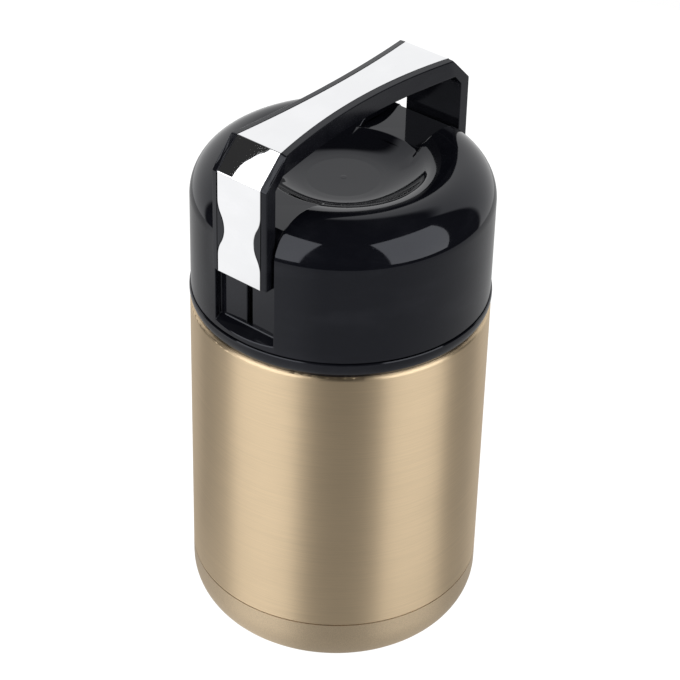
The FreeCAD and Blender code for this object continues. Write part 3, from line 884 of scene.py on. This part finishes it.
def handle_body(sizes):
    """The handle frame, with shallow slopes beside the bright trim and rounded edges."""
    piece = merged_copy("handle_body", "handle_frame")
    gain = sizes.slope_gain

    def at_edge(vert):
        share = min(1.0, abs(vert.co.x) / sizes.bar_end) if vert.co.z > sizes.bar_low else 1.0
        half = sizes.handle_waist + (HANDLE_HALF - sizes.handle_waist) * share * share
        return abs(vert.co.y) > half - sizes.edge_reach

    def on_leg_slope(vert):
        return at_edge(vert) and abs(abs(vert.co.x) - HANDLE_OUT + sizes.slope_drop) < 0.0003

    for side in (-1, 1):
        move(piece, lambda vert: on_leg_slope(vert) and vert.co.x * side > 0, side * gain, 0.0, gain * 0.2)
    move(piece, lambda vert: at_edge(vert) and vert.co.z > sizes.bar_slope, 0.0, 0.0, gain)
    for side in (-1, 1):
        move(piece, lambda vert: at_edge(vert) and vert.co.y * side > 0, 0.0, side * sizes.handle_gain, 0.0)
    close_edit()
    round_edges(piece, sizes.handle_round, degrees=12)
    edit(piece)
    pick(piece, "VERT", lambda vert: abs(vert.co.x) > HANDLE_OUT + STRAY)
    bpy.ops.mesh.dissolve_verts()
    close_edit()
    hand_over(piece, "handle", "black_handle", "handle_frame")


def bright_trim(sizes):
    """The bright strip with rounded edges."""
    piece = merged_copy("bright_trim", "handle_trim")
    close_edit()
    round_edges(piece, sizes.trim_round, degrees=40)
    hand_over(piece, "handle", "chrome_trim", "handle_trim")


def thread_rib(name, foot, rise, low, sizes):
    """One screw rib that winds upwards from low on a neck or skirt, and runs out at both ends."""
    section = Profile(foot, low - sizes.thread_foot)
    section.line(foot + rise, low - sizes.thread_crest).line(foot + rise, low + sizes.thread_crest)
    section.line(foot, low + sizes.thread_foot)
    root = foot - rise * THREAD_ROOT
    section.line(root, low + sizes.thread_foot).line(root, low - sizes.thread_foot)
    section.line(foot, low - sizes.thread_foot)
    piece = draw(name, section.path())
    weld()
    close_edit()
    climb = sizes.thread_lead * sizes.thread_sweep / FULL_TURN
    apply_modifier(piece, "SCREW", axis="Z", angle=sizes.thread_sweep, screw_offset=climb,
                   steps=THREAD_STEPS, render_steps=THREAD_STEPS, use_merge_vertices=False)
    edit(piece)
    for turn in (0.0, sizes.thread_sweep):
        out = Vector((math.cos(turn), math.sin(turn), 0.0))
        across = AXIS.cross(out)

        def at_end(vert):
            return abs(vert.co.dot(across)) < WELD and vert.co.dot(out) > 0

        pick(piece, "VERT", at_end)
        bpy.ops.mesh.edge_face_add()
        pick(piece, "VERT", lambda vert: at_end(vert) and abs(vert.co.dot(out) - foot - rise) < WELD)
        bpy.ops.transform.translate(value=-out * rise * THREAD_SINK)
    face_outwards()
    close_edit()
    smooth(piece, degrees=35)
    return piece


def thread_ribs(name, foot, rise, low, body, slot, sizes):
    """The evenly spaced ribs of a thread, modelled once and copied round the axis."""
    first = thread_rib(name + "_1", foot, rise, low, sizes)
    hand_over(first, body, slot)
    for index in range(1, sizes.thread_starts):
        piece = duplicate(first, f"{name}_{index + 1}")
        edit(piece)
        turn = FULL_TURN * index / sizes.thread_starts
        bpy.ops.transform.rotate(value=turn, orient_axis="Z", center_override=ORIGIN)
        close_edit()
        hand_over(piece, body, slot)


class JAR_OT_steel_vessel(Operator):
    """Finish the brushed outer shell, the base cap and the steel inside"""

    bl_idname = "jar.steel_vessel"
    bl_label = "Steel vessel"

    def execute(self, context):
        dress_nodes("gold_brushed_steel", "outer_shell")
        dress_nodes("gold_satin_cap", "base_cap")
        dress_nodes("bare_steel", "inner_liner", "base_plate")
        dress_nodes("solder", "seal_bead", "getter")
        return {"FINISHED"}


class JAR_OT_collar(Operator):
    """Finish the collar ring with its screw neck and its gasket"""

    bl_idname = "jar.collar"
    bl_label = "Collar"

    def execute(self, context):
        sizes = context.scene.jar_sizes
        collar_ring(sizes)
        dress_nodes("silicone", "collar_gasket")
        thread_ribs("neck_thread", sizes.neck_reach, sizes.thread_rise, sizes.thread_low,
                    "vessel", "black_gloss", sizes)
        return {"FINISHED"}


class JAR_OT_lid(Operator):
    """Build the domed lid with its handle channels, and finish the bowl inside"""

    bl_idname = "jar.lid"
    bl_label = "Lid"

    def execute(self, context):
        sizes = context.scene.jar_sizes
        lid_dome(sizes)
        dress_nodes("black_satin", "lid_liner")
        half_pitch = sizes.thread_lead / sizes.thread_starts / 2
        thread_ribs("skirt_thread", sizes.skirt_reach, -sizes.thread_rise, sizes.thread_low + half_pitch,
                    "lid", "black_satin", sizes)
        dress_nodes("silicone", "lid_gasket")
        return {"FINISHED"}


class JAR_OT_handle(Operator):
    """Build the handle frame and its bright trim, and finish the sliding shoes"""

    bl_idname = "jar.handle"
    bl_label = "Handle"

    def execute(self, context):
        sizes = context.scene.jar_sizes
        handle_body(sizes)
        bright_trim(sizes)
        dress_nodes("natural_acetal", "slider_shoe_right", "slider_shoe_left")
        return {"FINISHED"}


class JAR_OT_stopper(Operator):
    """Finish the stopper with its foam, seals, button and spring"""

    bl_idname = "jar.stopper"
    bl_label = "Stopper"

    def execute(self, context):
        dress_nodes("black_satin", "stopper_body", "stopper_cover")
        dress_nodes("white_foam", "stopper_foam")
        dress_nodes("silicone", "stopper_gasket", "vent_seal")
        dress_nodes("vent_red", "vent_button")
        dress_nodes("spring_wire", "vent_spring")
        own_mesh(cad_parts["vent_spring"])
        return {"FINISHED"}


def camera_basis(stage):
    """The camera's right, up and backward directions, with its roll."""
    back = (Vector(stage.camera_place) - Vector(stage.camera_aim)).normalized()
    right = AXIS.cross(back).normalized()
    up = back.cross(right)
    cosine, sine = math.cos(stage.camera_roll), math.sin(stage.camera_roll)
    return right * cosine + up * sine, up * cosine - right * sine, back


def add_camera(stage):
    """The camera at the photograph's place and angle."""
    deselect()
    bpy.ops.object.camera_add(location=stage.camera_place)
    camera = bpy.context.object
    camera.name = "studio_camera"
    right, up, back = camera_basis(stage)
    turn = Matrix((right, up, back)).transposed().to_4x4()
    camera.matrix_world = Matrix.Translation(stage.camera_place) @ turn
    camera.data.lens = stage.camera_lens
    camera.data.sensor_width = 36.0
    camera.data.clip_start = 0.01
    bpy.context.scene.camera = camera


def studio_direction(stage, aside, above):
    """A direction from the jar, turned from the camera's side by angles to its right and upwards."""
    towards = Vector((stage.camera_place[0], stage.camera_place[1], 0.0)).normalized()
    level = Matrix.Rotation(math.radians(aside), 3, "Z") @ towards
    rise = math.radians(above)
    return level * math.cos(rise) + AXIS * math.sin(rise)


def add_soft_box(stage, name, aside, above, distance, width, height):
    """An oblong soft box that faces the jar, with a plain radiance."""
    middle = Vector((0.0, 0.0, 0.16))
    towards = studio_direction(stage, aside, above)
    deselect()
    bpy.ops.object.light_add(type="AREA", location=middle + towards * distance)
    lamp = bpy.context.object
    lamp.name = name
    lamp.rotation_mode = "QUATERNION"
    lamp.rotation_quaternion = towards.to_track_quat("Z", "Y")
    lamp.data.shape = "RECTANGLE"
    lamp.data.size = width
    lamp.data.size_y = height
    lamp.data.energy = stage.lamp_level * math.pi * width * height
    lamp.visible_camera = False


def add_table(stage):
    """A round white table that keeps a faint shadow of the jar."""
    deselect()
    bpy.ops.mesh.primitive_circle_add(
        vertices=96, radius=stage.table_reach, fill_type="NGON", location=(0.0, 0.0, -0.0003))
    table = bpy.context.object
    table.name = "table_top"
    table.data.materials.append(table_white(stage))


def table_white(stage):
    """The table's material: near white to the camera, and brighter on some sides in reflections."""
    material = bpy.data.materials.new("table_white")
    material.use_nodes = True
    finish = Finish(material.node_tree)
    finish.tree.nodes.clear()
    seen, mirrored = finish.rays()
    lit = finish.node("ShaderNodeBsdfDiffuse", {}, {"Color": (0.8, 0.8, 0.8, 1.0)})
    spot = finish.vector("NORMALIZE", finish.place())
    reach = finish.vector("LENGTH", finish.place(), output="Value")

    def patch(aside, start, level):
        """Added brightness around one direction, from where the cosine of the angle to it passes start."""
        facing = finish.vector("DOT_PRODUCT", spot, studio_direction(stage, aside, 0.0), "Value")
        return finish.ramp(facing, start, 1.0, 0.0, level)

    sides = patch(-58.0, 0.66, stage.table_left) + patch(95.0, 0.4, stage.table_right)
    far = patch(-86.0, 0.88, stage.table_far) * finish.ramp(reach, 0.27, 0.33)
    glow = seen * stage.table_seen + mirrored * (sides + far + stage.table_level)
    shine = finish.node("ShaderNodeEmission", {}, {"Strength": glow})
    share = seen * stage.table_flat + mirrored
    mixed = finish.node("ShaderNodeMixShader", {}, {0: share, 1: lit, 2: shine})
    finish.end("ShaderNodeOutputMaterial", mixed)
    return material


def light_world(stage):
    """A white backdrop behind the jar in a dim room, and white where the camera looks past the table."""
    world = bpy.data.worlds.new("studio")
    bpy.context.scene.world = world
    world.use_nodes = True
    finish = Finish(world.node_tree)
    finish.tree.nodes.clear()
    away = finish.node("ShaderNodeTexCoord", {}, {}, "Generated")
    level = finish.vector("NORMALIZE", finish.vector("MULTIPLY", away, (1.0, 1.0, 0.0)))
    facing = finish.vector("DOT_PRODUCT", level, studio_direction(stage, 0.0, 0.0), "Value")
    rise = finish.node("ShaderNodeSeparateXYZ", {}, {0: away}, "Z")
    behind = finish.ramp(facing, -0.46, -0.38, 1.0, 0.0) * finish.ramp(rise, 0.74, 0.84, 1.0, 0.0)
    seen, mirrored = finish.rays()
    room = behind * (1.0 - stage.room_level) + stage.room_level
    strength = seen + (1.0 - seen) * (mirrored * room + (1.0 - mirrored) * stage.room_fill)
    shine = finish.node("ShaderNodeBackground", {}, {"Color": (1.0, 1.0, 1.0), "Strength": strength})
    finish.end("ShaderNodeOutputWorld", shine)


class JAR_OT_stage(Operator):
    """Set up the camera, the soft boxes, the table and the backdrop"""

    bl_idname = "jar.stage"
    bl_label = "Stage"

    def execute(self, context):
        stage = context.scene.jar_stage
        add_camera(stage)
        for box in SOFT_BOXES:
            add_soft_box(stage, *box)
        add_table(stage)
        light_world(stage)
        context.scene.view_settings.view_transform = "Standard"
        return {"FINISHED"}


STEPS = (
    JAR_OT_steel_vessel,
    JAR_OT_collar,
    JAR_OT_lid,
    JAR_OT_handle,
    JAR_OT_stopper,
    JAR_OT_stage,
)


class JAR_PT_panel(Panel):
    """Lists the steps that build the jar"""

    bl_idname = "JAR_PT_panel"
    bl_label = "Food jar"
    bl_space_type = "VIEW_3D"
    bl_region_type = "UI"
    bl_category = "Food jar"

    def draw(self, context):
        for step in STEPS:
            self.layout.operator(step.bl_idname)


CLASSES = (JarSizes, JarColours, JarStage, *STEPS, JAR_PT_panel)


def register():
    """Makes the classes and the jar's settings known."""
    for cls in CLASSES:
        bpy.utils.register_class(cls)
    bpy.types.Scene.jar_sizes = PointerProperty(type=JarSizes)
    bpy.types.Scene.jar_colours = PointerProperty(type=JarColours)
    bpy.types.Scene.jar_stage = PointerProperty(type=JarStage)


def unregister():
    """Takes the classes and the settings away again."""
    del bpy.types.Scene.jar_stage
    del bpy.types.Scene.jar_colours
    del bpy.types.Scene.jar_sizes
    for cls in reversed(CLASSES):
        bpy.utils.unregister_class(cls)


def main():
    register()
    for step in STEPS:
        group, name = step.bl_idname.split(".")
        getattr(getattr(bpy.ops, group), name)()


if __name__ == "__main__":
    main()
